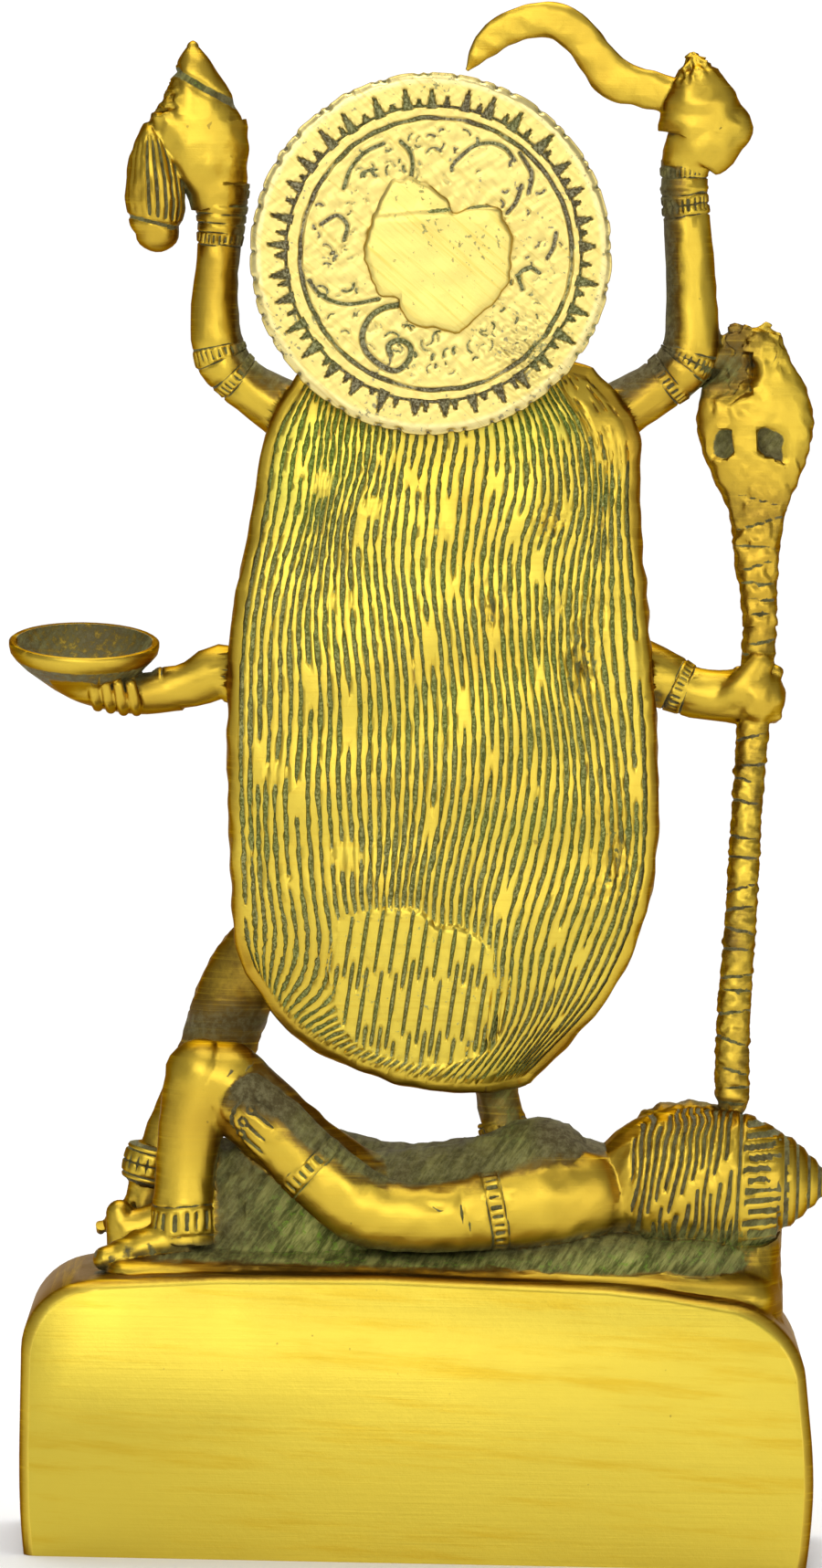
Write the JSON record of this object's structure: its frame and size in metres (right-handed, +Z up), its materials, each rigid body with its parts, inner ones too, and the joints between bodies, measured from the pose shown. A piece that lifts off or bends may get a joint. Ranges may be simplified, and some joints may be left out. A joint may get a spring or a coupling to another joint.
{
  "type": "kali statue",
  "caption": "Small cast brass figure of Kali with four arms, long hair and a toothed halo, standing on the reclining Shiva on a block plinth.",
  "frame": {"origin": "centre of the plinth's flat underside", "axes": "+Z up; Kali faces -Y and her left hand is at +X; the hair and the halo's engraved side face +Y"},
  "size_m": [0.1287, 0.052, 0.2405],
  "materials": {
    "cast_brass": "filed and polished cast brass, with dark and green patina in its recesses",
    "halo_brass": "engraved brass sheet, polished, with brown patina in the engraving"
  },
  "bodies": {
    "root": {"kali_statue": "cast_brass", "halo": "halo_brass"}
  },
  "joints": []
}
